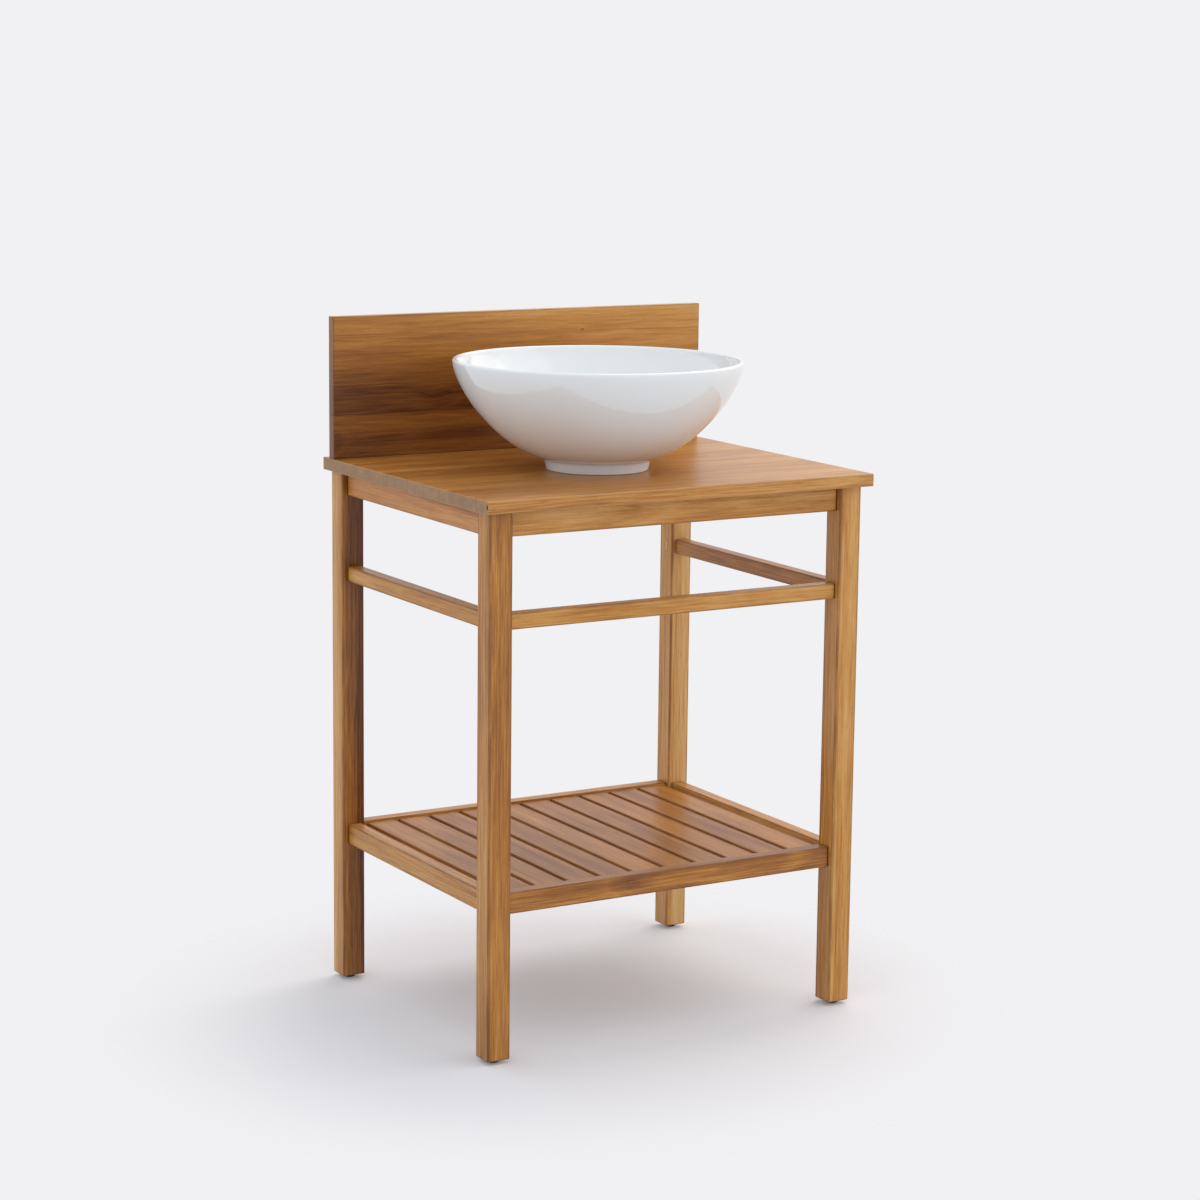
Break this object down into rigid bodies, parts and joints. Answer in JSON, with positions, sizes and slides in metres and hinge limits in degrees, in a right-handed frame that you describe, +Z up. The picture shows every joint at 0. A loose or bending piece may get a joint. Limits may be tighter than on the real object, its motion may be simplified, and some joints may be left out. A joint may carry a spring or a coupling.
{
  "type": "vanity unit",
  "caption": "Open hardwood vanity unit with worktop, splashback, towel rails, slatted shelf and a round white vessel basin with click-clack waste.",
  "frame": {"origin": "on the floor, under the middle of the worktop", "axes": "+X to the right, +Y to the back, towards the wall, +Z up"},
  "size_m": [0.62, 0.5, 0.985],
  "materials": {
    "worktop_wood": "oiled hardwood, satin",
    "frame_wood": "oiled hardwood, satin",
    "slat_wood": "oiled hardwood, satin",
    "basin_glaze": "white gloss glaze",
    "waste_chrome": "polished chrome",
    "zinc_steel": "bright zinc plate",
    "insert_brass": "turned brass",
    "black_plastic": "moulded black plastic",
    "seal_rubber": "black rubber"
  },
  "bodies": {
    "frame": {"worktop": "worktop_wood", "splashback": "worktop_wood", "apron_front": "frame_wood", "apron_back": "frame_wood", "apron_left": "frame_wood", "apron_right": "frame_wood", "towel_rail_front": "frame_wood", "towel_rail_left": "frame_wood", "towel_rail_right": "frame_wood", "shelf_rail_front": "frame_wood", "shelf_rail_back": "frame_wood", "shelf_rail_left": "frame_wood", "shelf_rail_right": "frame_wood", "cleat_front": "slat_wood", "cleat_back": "slat_wood", "mortise_plugs": "slat_wood", "leg_front_left": "frame_wood", "leg_front_right": "frame_wood", "leg_back_left": "frame_wood", "leg_back_right": "frame_wood", "slat_1": "slat_wood", "slat_2": "slat_wood", "slat_3": "slat_wood", "slat_4": "slat_wood", "slat_5": "slat_wood", "slat_6": "slat_wood", "slat_7": "slat_wood", "slat_8": "slat_wood", "slat_9": "slat_wood", "slat_10": "slat_wood", "splashback_screws": "zinc_steel", "cleat_screws": "zinc_steel", "slat_screws": "zinc_steel", "top_brackets": "zinc_steel", "bracket_screws": "zinc_steel", "leg_inserts": "insert_brass", "basin": "basin_glaze", "waste_body": "waste_chrome", "waste_gasket": "seal_rubber", "waste_rubber_washer": "seal_rubber", "waste_metal_washer": "zinc_steel", "waste_nut": "waste_chrome", "plug_cartridge": "black_plastic"},
    "glide_front_left": {"glide_pad_front_left": "black_plastic", "glide_stud_front_left": "zinc_steel"},
    "glide_front_right": {"glide_pad_front_right": "black_plastic", "glide_stud_front_right": "zinc_steel"},
    "glide_back_left": {"glide_pad_back_left": "black_plastic", "glide_stud_back_left": "zinc_steel"},
    "glide_back_right": {"glide_pad_back_right": "black_plastic", "glide_stud_back_right": "zinc_steel"},
    "plug": {"drain_plug": "waste_chrome", "plug_seal": "seal_rubber"}
  },
  "joints": [
    {"name": "glide_front_left_height", "type": "slide", "parent": "frame", "child": "glide_front_left", "axis": [0, 0, -1], "range_m": [0, 0.01]},
    {"name": "glide_front_right_height", "type": "slide", "parent": "frame", "child": "glide_front_right", "axis": [0, 0, -1], "range_m": [0, 0.01]},
    {"name": "glide_back_left_height", "type": "slide", "parent": "frame", "child": "glide_back_left", "axis": [0, 0, -1], "range_m": [0, 0.01]},
    {"name": "glide_back_right_height", "type": "slide", "parent": "frame", "child": "glide_back_right", "axis": [0, 0, -1], "range_m": [0, 0.01]},
    {"name": "plug_lift", "type": "slide", "parent": "frame", "child": "plug", "axis": [0, 0, 1], "range_m": [0, 0.01]}
  ]
}
